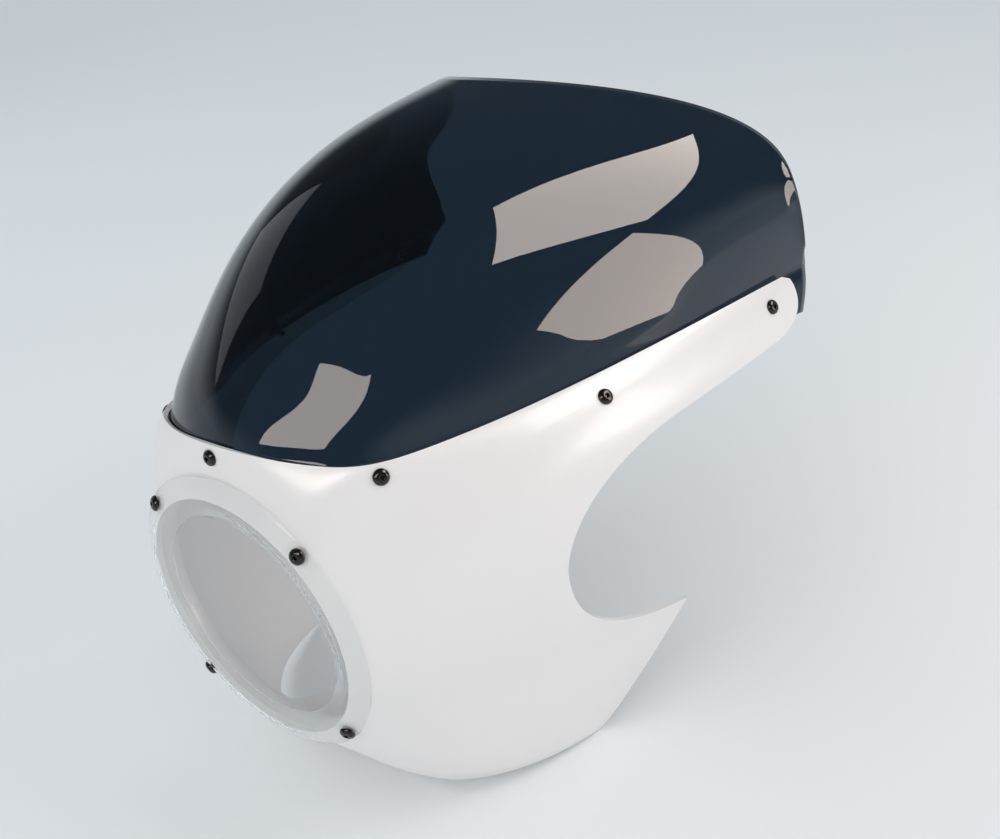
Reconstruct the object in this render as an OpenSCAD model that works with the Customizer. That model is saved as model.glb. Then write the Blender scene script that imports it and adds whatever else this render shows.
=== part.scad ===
// Headlight cowl: moulded nose shell, smoked bubble screen, clear lamp ring and fixings.
// Millimetres. The lamp axis is the Y axis and the nose points to -Y, Z is up.
// The origin lies on the lamp axis, in the plane of the outer edge of the lamp seat.

/* [Lamp opening] */
// radius of the bore that takes the lamp bezel
bore_radius = 77.5; // [76:0.5:79]
// radial width of the conical seat around the opening
seat_width = 12.5; // [12:0.1:14]
// depth of the cone between bore edge and seat edge
seat_depth = 6.2; // [5:0.1:8]
// length of the return lip behind the opening
lip_length = 12; // [8:1:16]

/* [Shell] */
// wall thickness of the moulded shell
shell_wall = 3; // [2.4:0.1:3.6]
// depth of the shell from seat plane to the rear end of the arms
arm_depth = 345; // [335:1:350]
// height of the upper edge along the flanks
edge_height = 96; // [94:0.5:98]
// extra height of the upper edge in the middle of the nose
brow_rise = 15; // [12:0.5:17]
// height of the lower edge of the arms
arm_low_height = 57; // [55:0.5:60]
// depth of the front of the handlebar cut-out
cutout_depth = 106; // [100:1:112]
// depth of the pointed tail behind the cut-out
tail_depth = 204; // [198:1:208]
// height of the tail point
tail_height = -75; // [-80:1:-70]
// depth of the lower rear corner
heel_depth = 134; // [128:1:140]
// height of the lower rear corner
heel_height = -142; // [-146:1:-138]
// depth of the chin edge under the lamp
chin_depth = 47; // [42:1:52]

/* [Windscreen] */
// sheet thickness of the screen
screen_wall = 2.5; // [2:0.1:3]
// play between shell and screen
screen_gap = 1.3; // [1.2:0.05:1.6]
// height of the crown at the trailing edge
crown_height = 235; // [228:1:240]
// depth of the crown at the trailing edge
crown_depth = 257; // [250:1:264]
// depth of the rear shoulders of the screen
shoulder_depth = 368; // [364:1:372]
// height of the rear shoulders of the screen
shoulder_height = 150; // [145:1:155]
// how far the screen reaches behind the arms
screen_tail = 26; // [20:1:28]

/* [Lamp ring] */
// thickness of the clear ring
ring_wall = 2; // [1.6:0.1:2.6]
// radial width of the dished lip of the ring, inside the bore
ring_lip = 11; // [8:0.5:13]
// play between the ring and its seat
ring_gap = 0.25; // [0.2:0.05:0.35]

/* [Fixings] */
// diameter of the button heads
head_dia = 9.4; // [9:0.1:10]
// height of the button heads
head_height = 2.75; // [2.4:0.05:3.2]
// diameter of the threaded shanks
shank_dia = 4; // [3.8:0.1:4.2]
// bore play around the shanks
bore_play = 0.4; // [0.3:0.1:0.8]
// hexagon recess, across flats
key_size = 2.5; // [2:0.1:3]
// depth of the hexagon recess
key_depth = 1.6; // [1.2:0.1:1.8]
// diameter of the flange under the nuts of the screen
flange_dia = 9; // [8.4:0.1:9.4]
// thickness of that flange
flange_height = 1; // [0.8:0.1:1.2]
// across-flats width of the nuts
nut_width = 7; // [6.5:0.1:7.2]
// height of the nuts
nut_height = 3.2; // [2.2:0.1:3.2]
// distance of the ring screws from the edge of the bore
ring_fix_offset = 7.8; // [7.6:0.1:8]
// seating play under the heads
seat_play = 0.05; // [0.02:0.01:0.1]
// play between the nuts and the curved wall that they seat on
nut_play = 0.6; // [0.55:0.05:0.75]

/* [Hidden] */

seat_radius = bore_radius + seat_width;
ring_inner = bore_radius - ring_lip;
ring_fix_radius = bore_radius + ring_fix_offset;

// Loft stations around the lamp axis: angle from the horizontal, radial growth of the
// shell beyond the seat and the depth over which that growth happens.
stations = [
    [-90, 20, 50], [-82, 26, 50], [-75, 43, 51], [-67.5, 79, 53], [-60, 112, 54],
    [-50, 115, 61], [-36, 104, 80], [-20, 92, 97], [0, 87, 97], [15, 88.5, 96],
    [22, 93, 97], [28, 97, 103], [33, 97, 104], [36, 90, 94], [39.5, 75.5, 65],
    [43, 61.5, 43], [47, 53.5, 27], [52, 47.5, 18], [59.5, 41, 13.5], [69, 34, 8],
    [82, 29, 3.3], [90, 27, 2]
];
last_station = len(stations) - 1;
// downward turn of the loft lines at the rear end of the arms, degrees
droop = 5;

// Slope of station column c at station i, limited so that the curve never overshoots.
function slope(i, c) = (i <= 0 || i >= last_station) ? 0 :
    let (d0 = (stations[i][c] - stations[i - 1][c]) / (stations[i][0] - stations[i - 1][0]))
    let (d1 = (stations[i + 1][c] - stations[i][c]) / (stations[i + 1][0] - stations[i][0]))
    d0 * d1 <= 0 ? 0 : 2 * d0 * d1 / (d0 + d1);

function span_of(x, k = 0) = (k >= last_station - 1 || stations[k + 1][0] >= x) ? k : span_of(x, k + 1);

// Value of station column c at angle x, then the same averaged over a few degrees.
function raw_value(x, c) =
    let (k = span_of(x))
    let (h = stations[k + 1][0] - stations[k][0])
    let (t = (x - stations[k][0]) / h)
    (2 * t * t * t - 3 * t * t + 1) * stations[k][c]
    + (t * t * t - 2 * t * t + t) * h * slope(k, c)
    + (3 * t * t - 2 * t * t * t) * stations[k + 1][c]
    + (t * t * t - t * t) * h * slope(k + 1, c);

function fold(a) = a > 90 ? 180 - a : (a < -90 ? -180 - a : a);
function station_value(x, c) =
    (raw_value(fold(x - 2.6), c) + 2 * raw_value(x, c) + raw_value(fold(x + 2.6), c)) / 4;

// Outer skin of the shell on loft line a (degrees) at depth y.
function skin(a, y) =
    let (b = fold(a))
    let (m = (a > 90 || a < -90) ? -1 : 1)
    let (r = seat_radius + station_value(b, 1) * (1 - exp(-y / station_value(b, 2))))
    let (t = b - droop * pow(y / 345, 2) * sqrt(abs(cos(b))))
    [m * r * cos(t), y, r * sin(t)];

function unit(v) = v / norm(v);
function skin_normal(a, y) =
    let (e = 0.4)
    unit(cross(skin(a + e, y) - skin(a - e, y), skin(a, max(0, y - e)) - skin(a, y + e)));

// Cubic curve through four control points.
function bezier(p, t) =
    pow(1 - t, 3) * p[0] + 3 * pow(1 - t, 2) * t * p[1] + 3 * (1 - t) * t * t * p[2] + t * t * t * p[3];

// Upper edge of the shell: height at depth y, and the depth where loft line a meets it.
function edge_z(y) = edge_height + brow_rise * exp(-(y - 3) / 25) - 9.4 * pow(max(0, (y - 130) / 215), 2);
function edge_depth(a, lo, hi, n = 26) = n == 0 ? lo :
    let (m = (lo + hi) / 2)
    skin(a, m)[2] < edge_z(m) ? edge_depth(a, m, hi, n - 1) : edge_depth(a, lo, m, n - 1);

// Lower edge of the flanks, a straight line from the heel to the chin.
function sole_z(y) = heel_height + (heel_depth - y) * 9 / 87;
function sole_depth(a, lo, hi, n = 26) = n == 0 ? lo :
    let (m = (lo + hi) / 2)
    skin(a, m)[2] > sole_z(m) ? sole_depth(a, m, hi, n - 1) : sole_depth(a, lo, m, n - 1);

// Loft line through the side-view point (y, z).
function line_at(y, z, lo = -57, hi = 90, n = 30) = n == 0 ? lo :
    let (m = (lo + hi) / 2)
    skin(m, y)[2] < z ? line_at(y, z, m, hi, n - 1) : line_at(y, z, lo, m, n - 1);

// Side-view outline behind the upper edge, from the end of the arm to the heel.
arm_end = [
    for (t = [0 : 0.2 : 1])
        bezier([[arm_depth, 84], [arm_depth + 0.5, 66], [arm_depth - 12, arm_low_height - 1],
                [arm_depth - 38, arm_low_height - 0.5]], t)
];
arm_under = [[arm_depth - 75, arm_low_height], [arm_depth - 108, arm_low_height + 0.6]];
cut_upper = [
    for (t = [0 : 1 / 6 : 1.001])
        bezier([[205, arm_low_height + 0.5], [143, arm_low_height - 1], [cutout_depth, 28],
                [cutout_depth, 2]], t)
];
cut_lower = [
    for (t = [1 / 6 : 1 / 6 : 1.001])
        bezier([[cutout_depth, 2], [cutout_depth, -32], [132, -55], [tail_depth, tail_height]], t)
];
tail_back = [
    for (t = [0.25 : 0.25 : 1.001])
        [tail_depth + (heel_depth - tail_depth) * t - 5 * sin(180 * t),
         tail_height + (heel_height - tail_height) * t]
];
side_view = concat(arm_end, arm_under, cut_upper, cut_lower, tail_back);

// Loft line and depth at share v of the upper edge, from the middle of the nose to the rear.
turn_angle = 50;
turn_depth = edge_depth(turn_angle, 0, 200);
function edge_station(v, last_depth) =
    v < 0.4
        ? let (a = 90 - (90 - turn_angle) * v / 0.4) [a, edge_depth(a, 0, 200)]
        : let (y = turn_depth + (last_depth - turn_depth) * pow((v - 0.4) / 0.6, 1.15))
          [line_at(y, edge_z(y)), y];

edge_steps = 16;
sole_first = line_at(heel_depth, heel_height);
sole_last = -59.5;
rim_half = concat(
    [for (i = [0 : edge_steps - 1]) edge_station(i / edge_steps, arm_depth)],
    [for (p = side_view) [line_at(p[0], p[1]), p[0]]],
    [for (i = [1 : 5])
        let (a = sole_first + (sole_last - sole_first) * i / 5)
        [a, max(chin_depth, sole_depth(a, 20, heel_depth))]],
    [for (i = [1 : 6]) [sole_last + (-90 - sole_last) * i / 6, chin_depth]]
);
half_count = len(rim_half);
ring_count = 2 * half_count - 2;

// One loft line of the shell: [outer point, inner point] for each row, x mirrored by m.
// The rows start close together at the nose and spread towards the rear of long lines.
rows = 9;
first_row = 11;
function spread(y, lo = 0, hi = 6, n = 14) = n == 0 ? (lo + hi) / 2 :
    let (m = (lo + hi) / 2)
    y * m > first_row * rows * (exp(m) - 1) ? spread(y, m, hi, n - 1) : spread(y, lo, m, n - 1);
function row_depth(y, j) =
    y < 1.05 * first_row * rows ? y * pow(j / rows, 1.15) :
    let (k = spread(y))
    y * (exp(k * j / rows) - 1) / (exp(k) - 1);
function mirror_x(p, m) = [m * p[0], p[1], p[2]];
cone = unit([seat_radius - bore_radius, seat_depth]);
cone_out = [cone[1], -cone[0]];
root_radius = bore_radius + 1.5;
function seat_point(a, r, inset) =
    let (y = -seat_depth + seat_depth * (r - bore_radius) / (seat_radius - bore_radius))
    [(r - inset * cone_out[0]) * cos(a), y - inset * cone_out[1], (r - inset * cone_out[0]) * sin(a)];
function shell_line(c) = concat(
    [[seat_point(c[0], root_radius, 0), seat_point(c[0], root_radius, shell_wall)]],
    [for (j = [0 : rows])
        let (y = row_depth(c[1], j))
        let (p = skin(c[0], y))
        let (n = j == 0 ? unit(skin_normal(c[0], 0) + [cone_out[0] * cos(c[0]), cone_out[1], cone_out[0] * sin(c[0])])
                        : skin_normal(c[0], y))
        [p, p - shell_wall * n]]
);
half_lines = [for (c = rim_half) shell_line(c)];
function loop_line(i) = i < half_count ? half_lines[i] : half_lines[ring_count - i];
function loop_sign(i) = i < half_count ? 1 : -1;

function pick(i, j, side) = mirror_x(loop_line(i)[j][side], loop_sign(i));

module shell_skin() {
    nr = rows + 2;
    outer = [for (i = [0 : ring_count - 1]) for (j = [0 : nr - 1]) pick(i, j, 0)];
    inner = [for (i = [0 : ring_count - 1]) for (j = [0 : nr - 1]) pick(i, j, 1)];
    half = ring_count * nr;
    quads = [
        for (i = [0 : ring_count - 1])
            let (k = (i + 1) % ring_count)
            for (j = [0 : nr - 2])
                [i * nr + j, k * nr + j, k * nr + j + 1, i * nr + j + 1]
    ];
    front = [for (q = quads) [[q[0], q[2], q[1]], [q[0], q[3], q[2]]]];
    back = [for (q = quads) [[half + q[0], half + q[1], half + q[2]], [half + q[0], half + q[2], half + q[3]]]];
    bore_edge = [
        for (i = [0 : ring_count - 1])
            let (k = (i + 1) % ring_count)
            [[i * nr, k * nr, half + k * nr], [i * nr, half + k * nr, half + i * nr]]
    ];
    rim_edge = [
        for (i = [0 : ring_count - 1])
            let (k = (i + 1) % ring_count)
            let (j = nr - 1)
            [[i * nr + j, half + k * nr + j, k * nr + j], [i * nr + j, half + i * nr + j, half + k * nr + j]]
    ];
    polyhedron(
        points = concat(outer, inner),
        faces = [for (f = concat(front, back, bore_edge, rim_edge)) for (t = f) t],
        convexity = 8
    );
}

// Return lip behind the opening, the bore that takes the lamp bezel. It is thinner at the
// back, where the nuts of the lamp ring sit beside it.
lip_wall = 1.6;
lip_front = 2.5;
module return_lip() {
    rise = seat_depth * 3 / (seat_radius - bore_radius);
    rotate([90, 0, 0])
        rotate_extrude($fn = 50)
            polygon([
                [bore_radius + 1, seat_depth + 0.1 - rise / 3],
                [bore_radius, lip_front],
                [bore_radius, lip_front - lip_length],
                [bore_radius + lip_wall, lip_front - lip_length],
                [bore_radius + lip_wall, lip_front - 1.3],
                [bore_radius + 3, seat_depth + 0.1 - rise]
            ]);
}

// How far the inner face of the screen curves towards a flat seat of radius r at (a, y).
screen_stack = shell_wall + screen_gap + screen_wall;
function deep(a, y) = skin(a, y) - screen_stack * skin_normal(a, y);
function dip(a, y, r) =
    let (p = deep(a, y))
    let (turn = 1.2 * r / norm([p[0], p[2]]) * 180 / PI)
    max([for (t = [0 : 45 : 315]) (p - deep(a + turn * cos(t), max(0.1, y + r * sin(t)))) * skin_normal(a, y)]);

// Fixing points: [point on the outer face, outward direction, dip under the nut].
screen_fix_half = [[90, 1.45], [45.8, 39], [32, 166], [29, arm_depth - 29]];
screen_fix_list = [
    for (f = screen_fix_half)
        [skin(f[0], f[1]), skin_normal(f[0], f[1]), max(0, dip(f[0], f[1], flange_dia / 2))]
];
screen_fixes = concat(
    screen_fix_list,
    [for (i = [1 : 3])
        let (f = screen_fix_list[i])
        [mirror_x(f[0], -1), mirror_x(f[1], -1), f[2]]]
);
ring_fix_angles = [45, 135, 225, 315];
cone_tilt = atan2(cone_out[0], -cone_out[1]);

// Places children with Z along the outward direction of a screen fixing, at height h.
module at_fix(f, h) {
    d = f[1];
    translate(f[0] + h * d)
        rotate([0, acos(d[2]), atan2(d[1], d[0])])
            children();
}

// The same for a fixing of the lamp ring at angle a, with X pointing away from the lamp axis.
module at_ring(a, h) {
    y = -seat_depth + seat_depth * (ring_fix_radius - bore_radius) / (seat_radius - bore_radius);
    rotate([0, -a, 0])
        translate([ring_fix_radius, y, 0])
            rotate([90, 0, cone_tilt])
                translate([0, 0, h])
                    children();
}

module drill_bore() {
    cylinder(d = shank_dia + bore_play, h = 32, $fn = 16);
}

module drill_screen() {
    for (f = screen_fixes)
        at_fix(f, -20)
            drill_bore();
}

module drill_ring() {
    for (a = ring_fix_angles)
        at_ring(a, -7)
            drill_bore();
}

module cowl_shell() {
    color([0.93, 0.93, 0.92])
        difference() {
            union() {
                shell_skin();
                return_lip();
            }
            drill_screen();
            drill_ring();
        }
}

// Windscreen: ribs that start under the upper edge of the shell and run to the trailing edge.
inset = shell_wall + screen_gap;
screen_end = arm_depth + screen_tail;
screen_ribs = 19;
screen_rows = 9;
skirt_rows = 3;
corner_lead = 21;
trail_crown = [[0, crown_depth, crown_height], [56, crown_depth, crown_height],
               [116, shoulder_depth + 30, shoulder_height + 40], [154, shoulder_depth, shoulder_height]];
trail_flank = [[154, shoulder_depth, shoulder_height], [165.4, shoulder_depth - 9, shoulder_height - 12],
               [162.5, screen_end - 2.5, edge_height + 16], [160.8, screen_end, edge_height]];
function trail(u) = u < 0.75 ? bezier(trail_crown, u / 0.75) : bezier(trail_flank, (u - 0.75) / 0.25);
function smooth(t) = let (s = min(1, max(0, t))) s * s * (3 - 2 * s);
function under(a, y) = skin(a, y) - inset * skin_normal(a, y);

rib_last = line_at(screen_end, edge_z(screen_end));
function rib(v) =
    let (st = edge_station(v, screen_end))
    let (a = st[0])
    let (y = st[1])
    let (q = (90 - a) / (90 - rib_last))
    let (u = pow(q, 1.25))
    let (rear = pow(max(0, (y - 250) / (screen_end - 250)), 2))
    let (al = a - 7.5 * smooth(q / 0.8) - 1.1 * rear)
    let (yl = y * (1 - 0.85 * pow(1 - q, 1.6)) - corner_lead * rear)
    let (top = under(a, y))
    let (end = trail(u))
    let (span = norm(end - top))
    let (lean = 0.45 * sin(90 * min(1, 1.2 * q)) * pow(1 - q, 0.3))
    let (rise = unit([-lean, 0.28 + 0.25 * q, 0.96]))
    let (run = unit([0, 1, -0.1]))
    concat([for (j = [0 : skirt_rows - 1]) under(al + (a - al) * j / skirt_rows, yl + (y - yl) * j / skirt_rows)],
           [top],
           [for (j = [1 : screen_rows])
               bezier([top, top + 0.37 * span * rise, end - 0.42 * span * run, end], j / screen_rows)]);
ribs_half = [for (i = [0 : screen_ribs]) rib(i / screen_ribs)];
rib_count = 2 * screen_ribs + 1;
rib_length = screen_rows + skirt_rows + 1;
function rib_point(i, j) =
    i < screen_ribs ? mirror_x(ribs_half[screen_ribs - i][j], -1) : ribs_half[i - screen_ribs][j];
function clamp(v, n) = max(0, min(n, v));
function rib_normal(i, j) =
    unit(cross(
        rib_point(i, clamp(j + 1, rib_length - 1)) - rib_point(i, clamp(j - 1, rib_length - 1)),
        rib_point(clamp(i + 1, rib_count - 1), j) - rib_point(clamp(i - 1, rib_count - 1), j)
    )) * -1;

module screen_skin() {
    n = rib_length;
    outer = [for (i = [0 : rib_count - 1]) for (j = [0 : n - 1]) rib_point(i, j)];
    inner = [for (i = [0 : rib_count - 1]) for (j = [0 : n - 1]) rib_point(i, j) - screen_wall * rib_normal(i, j)];
    half = rib_count * n;
    quads = [
        for (i = [0 : rib_count - 2])
            for (j = [0 : n - 2])
                [i * n + j, (i + 1) * n + j, (i + 1) * n + j + 1, i * n + j + 1]
    ];
    front = [for (q = quads) [[q[0], q[2], q[1]], [q[0], q[3], q[2]]]];
    back = [for (q = quads) [[half + q[0], half + q[1], half + q[2]], [half + q[0], half + q[2], half + q[3]]]];
    loop = concat(
        [for (i = [0 : rib_count - 1]) i * n],
        [for (j = [1 : n - 1]) (rib_count - 1) * n + j],
        [for (i = [1 : rib_count - 1]) (rib_count - 1 - i) * n + n - 1],
        [for (j = [1 : n - 2]) n - 1 - j]
    );
    edge = [
        for (k = [0 : len(loop) - 1])
            let (p = loop[k])
            let (q = loop[(k + 1) % len(loop)])
            [[p, q, half + q], [p, half + q, half + p]]
    ];
    polyhedron(
        points = concat(outer, inner),
        faces = [for (f = concat(front, back, edge)) for (t = f) t],
        convexity = 8
    );
}

module windscreen() {
    color([0.1, 0.14, 0.2, 0.8])
        difference() {
            screen_skin();
            drill_screen();
        }
}

// Clear ring: a conical flange on the seat that runs inward as a shallow dished lip.
module lamp_ring() {
    g = ring_gap;
    t = ring_gap + ring_wall;
    color([0.8, 0.9, 0.95, 0.4])
        difference() {
            rotate([90, 0, 0])
                rotate_extrude($fn = 50)
                    polygon([
                        [seat_radius + g * cone_out[0], -g * cone_out[1]],
                        [seat_radius + t * cone_out[0] - 0.6, -t * cone_out[1] + 0.3],
                        [bore_radius + t * cone_out[0], seat_depth - t * cone_out[1]],
                        [bore_radius - 3, seat_depth - 0.2 + ring_wall],
                        [ring_inner + 0.5, 3 + ring_wall],
                        [ring_inner, 2.5 + ring_wall],
                        [ring_inner, 3],
                        [bore_radius - 3, seat_depth - 0.2],
                        [bore_radius + g * cone_out[0], seat_depth - g * cone_out[1]]
                    ]);
            drill_ring();
        }
}

module button_screw(length) {
    rotate_extrude($fn = 14)
        polygon(concat(
            [[0, -length], [shank_dia / 2, -length], [shank_dia / 2, 0]],
            [[head_dia / 2, 0], [head_dia / 2, 0.35]],
            [for (a = [30 : 30 : 60]) [head_dia / 2 * cos(a), 0.35 + (head_height - 0.35) * sin(a) * 1.1547]],
            [[0, head_height]]
        ));
}

module key_recess() {
    translate([0, 0, head_height - key_depth])
        cylinder(d = key_size / cos(30), h = key_depth + 1, $fn = 6);
}

module screw(length) {
    difference() {
        button_screw(length);
        key_recess();
    }
}

// A nut with its seat at the top, with or without a flange around the seat.
module nut(flanged) {
    low = flanged ? nut_height + flange_height : nut_height;
    difference() {
        union() {
            translate([0, 0, -low])
                rotate([0, 0, 30])
                    cylinder(d = nut_width / cos(30), h = low, $fn = 6);
            if (flanged)
                translate([0, 0, -flange_height])
                    cylinder(d = flange_dia, h = flange_height, $fn = 16);
        }
        translate([0, 0, -low - 1])
            cylinder(d = shank_dia + 0.1, h = low + 2, $fn = 14);
    }
}

screw_black = [0.06, 0.06, 0.07];
steel = [0.7, 0.71, 0.72];
screen_screw_length = 14;
ring_screw_length = 12;

module screen_screws() {
    color(screw_black)
        for (f = screen_fixes)
            at_fix(f, seat_play)
                screw(screen_screw_length);
}

module screen_nuts() {
    color(steel)
        for (f = screen_fixes)
            at_fix(f, -screen_stack - nut_play - f[2])
                nut(true);
}

module ring_screws() {
    color(screw_black)
        for (a = ring_fix_angles)
            at_ring(a, ring_gap + ring_wall + seat_play)
                screw(ring_screw_length);
}

module ring_nuts() {
    color(steel)
        for (a = ring_fix_angles)
            at_ring(a, -shell_wall - nut_play)
                nut(false);
}

cowl_shell();
windscreen();
lamp_ring();
screen_screws();
screen_nuts();
ring_screws();
ring_nuts();
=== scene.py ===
"""Looks of the headlight cowl: glossy nose shell, smoked bubble screen, clear lamp ring, fixings."""

import logging
import math
from dataclasses import dataclass, field
from enum import Enum
from typing import Callable, Iterable, Sequence

import bmesh
import bpy
import numpy as np
from mathutils import Matrix, Vector

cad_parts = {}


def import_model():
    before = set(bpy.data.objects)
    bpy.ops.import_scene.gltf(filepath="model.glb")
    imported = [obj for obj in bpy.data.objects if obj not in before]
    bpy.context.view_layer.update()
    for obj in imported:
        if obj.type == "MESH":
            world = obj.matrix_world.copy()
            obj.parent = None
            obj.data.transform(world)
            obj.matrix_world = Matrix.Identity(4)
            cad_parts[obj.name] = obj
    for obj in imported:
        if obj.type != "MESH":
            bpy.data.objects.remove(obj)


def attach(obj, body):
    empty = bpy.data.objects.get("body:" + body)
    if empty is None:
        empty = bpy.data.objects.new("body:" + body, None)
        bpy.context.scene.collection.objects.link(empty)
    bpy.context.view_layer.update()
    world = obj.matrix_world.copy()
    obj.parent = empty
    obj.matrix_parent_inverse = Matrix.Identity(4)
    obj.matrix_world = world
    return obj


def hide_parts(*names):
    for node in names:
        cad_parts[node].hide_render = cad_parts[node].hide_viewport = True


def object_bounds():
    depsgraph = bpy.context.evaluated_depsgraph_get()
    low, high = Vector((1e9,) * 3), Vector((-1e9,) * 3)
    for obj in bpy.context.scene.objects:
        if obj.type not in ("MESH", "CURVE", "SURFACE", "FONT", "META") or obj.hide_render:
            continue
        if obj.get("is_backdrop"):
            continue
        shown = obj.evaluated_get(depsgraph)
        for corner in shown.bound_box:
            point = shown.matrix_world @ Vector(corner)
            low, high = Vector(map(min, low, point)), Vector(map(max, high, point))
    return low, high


LOG = logging.getLogger("cowl")
BODY = "root"
MM = 0.001
IMAGE_WIDTH = 1000
SENSOR_WIDTH = 36.0
MERGE_GRID = 0.004 * MM
MERGE_SPUN = 0.002 * MM

Array = np.ndarray


# Colours and materials
def srgb(code: str, alpha: float = 1.0) -> tuple[float, float, float, float]:
    """Turn an sRGB hex colour into linear values.

    Args:
        code: six hex digits, with or without a leading hash sign.
        alpha: opacity that goes into the fourth value.

    Returns:
        Linear red, green, blue and alpha.
    """
    code = code.lstrip("#")
    parts = [int(code[i : i + 2], 16) / 255 for i in (0, 2, 4)]
    linear = [c / 12.92 if c <= 0.04045 else ((c + 0.055) / 1.055) ** 2.4 for c in parts]
    return linear[0], linear[1], linear[2], alpha


def add_node(tree: bpy.types.NodeTree, kind: str, links: dict | None = None, **settings: object) -> bpy.types.Node:
    """Add a node with its settings and the links that come into it.

    Args:
        tree: node tree that takes the node.
        kind: Blender's type name of the node.
        links: input name or index to the output socket linked to it, or to a plain value.
        settings: attributes of the node.

    Returns:
        The new node.
    """
    node = tree.nodes.new(kind)
    for key, value in settings.items():
        setattr(node, key, value)
    for key, value in (links or {}).items():
        if isinstance(value, bpy.types.NodeSocket):
            tree.links.new(value, node.inputs[key])
        else:
            node.inputs[key].default_value = value
    return node


class Relief(Enum):
    """Kinds of fine relief on a finish."""

    NONE = "none"
    ORANGE_PEEL = "orange_peel"
    SHEET_WAVE = "sheet_wave"
    TURNED = "turned"


RELIEF_PITCH_MM = {Relief.ORANGE_PEEL: 3.5, Relief.SHEET_WAVE: 90.0, Relief.TURNED: 0.5}


@dataclass(frozen=True)
class Finish:
    """A finish, given by what it is made of and how its surface was made."""

    name: str
    colour: str
    second: str
    roughness: float
    spread: float = 0.0
    metallic: float = 0.0
    ior: float = 1.5
    transmission: float = 0.0
    coat: float = 0.0
    relief: Relief = Relief.NONE
    relief_mm: float = 0.01
    pattern_mm: float = 20.0

    def build(self) -> bpy.types.Material:
        """Make the material: a gentle mottle of two colours, uneven gloss and fine relief.

        Returns:
            The new material.
        """
        material = bpy.data.materials.new(self.name)
        material.use_nodes = True
        tree = material.node_tree
        tree.nodes.clear()
        out = add_node(tree, "ShaderNodeOutputMaterial")
        place = add_node(tree, "ShaderNodeTexCoord").outputs["Object"]
        scale = 1 / (self.pattern_mm * MM)
        mottle = add_node(tree, "ShaderNodeTexNoise", {"Vector": place, "Scale": scale, "Detail": 3.0})
        tone = add_node(
            tree,
            "ShaderNodeMix",
            {0: mottle.outputs[0], 6: srgb(self.colour), 7: srgb(self.second)},
            data_type="RGBA",
        )
        gloss: bpy.types.NodeSocket | float = self.roughness
        if self.spread > 0:
            low, high = self.roughness - self.spread, self.roughness + self.spread
            gloss = add_node(tree, "ShaderNodeMapRange", {0: mottle.outputs[0], 3: low, 4: high}).outputs[0]
        shader = add_node(
            tree,
            "ShaderNodeBsdfPrincipled",
            {
                "Base Color": tone.outputs[2],
                "Roughness": gloss,
                "Metallic": self.metallic,
                "IOR": self.ior,
                "Transmission Weight": self.transmission,
                "Coat Weight": self.coat,
                "Coat Roughness": 0.06,
            },
        )
        relief = self.relief_node(tree, place)
        if relief is not None:
            tree.links.new(relief, shader.inputs["Normal"])
        surface = shader.outputs[0]
        if self.transmission > 0:
            surface = self.lamps_through(tree, surface)
        tree.links.new(surface, out.inputs["Surface"])
        return material

    def lamps_through(self, tree: bpy.types.NodeTree, surface: bpy.types.NodeSocket) -> bpy.types.NodeSocket:
        """Let the light of the lamps pass a clear sheet, tinted by both of its faces.

        Args:
            tree: node tree of the material.
            surface: the sheet's own shader.

        Returns:
            The mixed shader.
        """
        tint = tuple(math.sqrt(c) for c in srgb(self.colour)[:3]) + (1.0,)
        film = add_node(tree, "ShaderNodeBsdfTransparent", {"Color": tint})
        path = add_node(tree, "ShaderNodeLightPath")
        mixed = add_node(
            tree, "ShaderNodeMixShader", {0: path.outputs["Is Shadow Ray"], 1: surface, 2: film.outputs[0]}
        )
        return mixed.outputs[0]

    def relief_node(self, tree: bpy.types.NodeTree, place: bpy.types.NodeSocket) -> bpy.types.NodeSocket | None:
        """Add the bump of the finish.

        Args:
            tree: node tree of the material.
            place: socket with Object coordinates.

        Returns:
            The normal socket, or None for a finish without relief.
        """
        if self.relief is Relief.NONE:
            return None
        scale = 1 / (RELIEF_PITCH_MM[self.relief] * MM)
        height = add_node(tree, "ShaderNodeTexNoise", {"Vector": place, "Scale": scale, "Detail": 1.0})
        bump = add_node(
            tree,
            "ShaderNodeBump",
            {"Height": height.outputs[0], "Strength": 1.0, "Distance": self.relief_mm * MM},
        )
        return bump.outputs[0]


# Injection-moulded ABS, painted and polished: clean white with a deep, even gloss.
WHITE_ABS = Finish(
    "white_moulded_abs", "#EDEAE9", "#EAE8E7", 0.3, 0.03, coat=0.12, relief=Relief.ORANGE_PEEL, relief_mm=0.003,
    pattern_mm=60,
)
# Thermoformed smoked acrylic sheet: almost black, with a cold blue cast where light comes through.
SMOKED_ACRYLIC = Finish(
    "smoked_formed_acrylic", "#202F3D", "#1E2D3A", 0.0, 0.0, ior=1.49, transmission=1.0,
    relief=Relief.SHEET_WAVE, relief_mm=0.04, pattern_mm=80,
)
# Moulded clear acrylic: water-clear, with a faint cold tint in its edges.
CLEAR_ACRYLIC = Finish(
    "clear_moulded_acrylic", "#FBFDFD", "#F9FCFC", 0.02, 0.005, ior=1.14, transmission=1.0, coat=0.35, pattern_mm=40
)
# Black oxide on cold-headed steel: dark, oily gloss.
BLACK_OXIDE = Finish(
    "black_oxide_steel", "#1C1916", "#26221E", 0.2, 0.06, metallic=0.6, coat=0.4, relief=Relief.TURNED,
    relief_mm=0.002, pattern_mm=3,
)
# Zinc plating on steel: bright, slightly milky.
ZINC_STEEL = Finish(
    "zinc_plated_steel", "#B9BCBE", "#A9ACB0", 0.3, 0.08, metallic=1.0, relief=Relief.TURNED, relief_mm=0.003,
    pattern_mm=4,
)
# Seamless paper on the studio floor: pale, matte.
PALE_PAPER = Finish("pale_matte_paper", "#F0F3F5", "#EEF2F4", 0.8, 0.02, pattern_mm=400)


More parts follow.
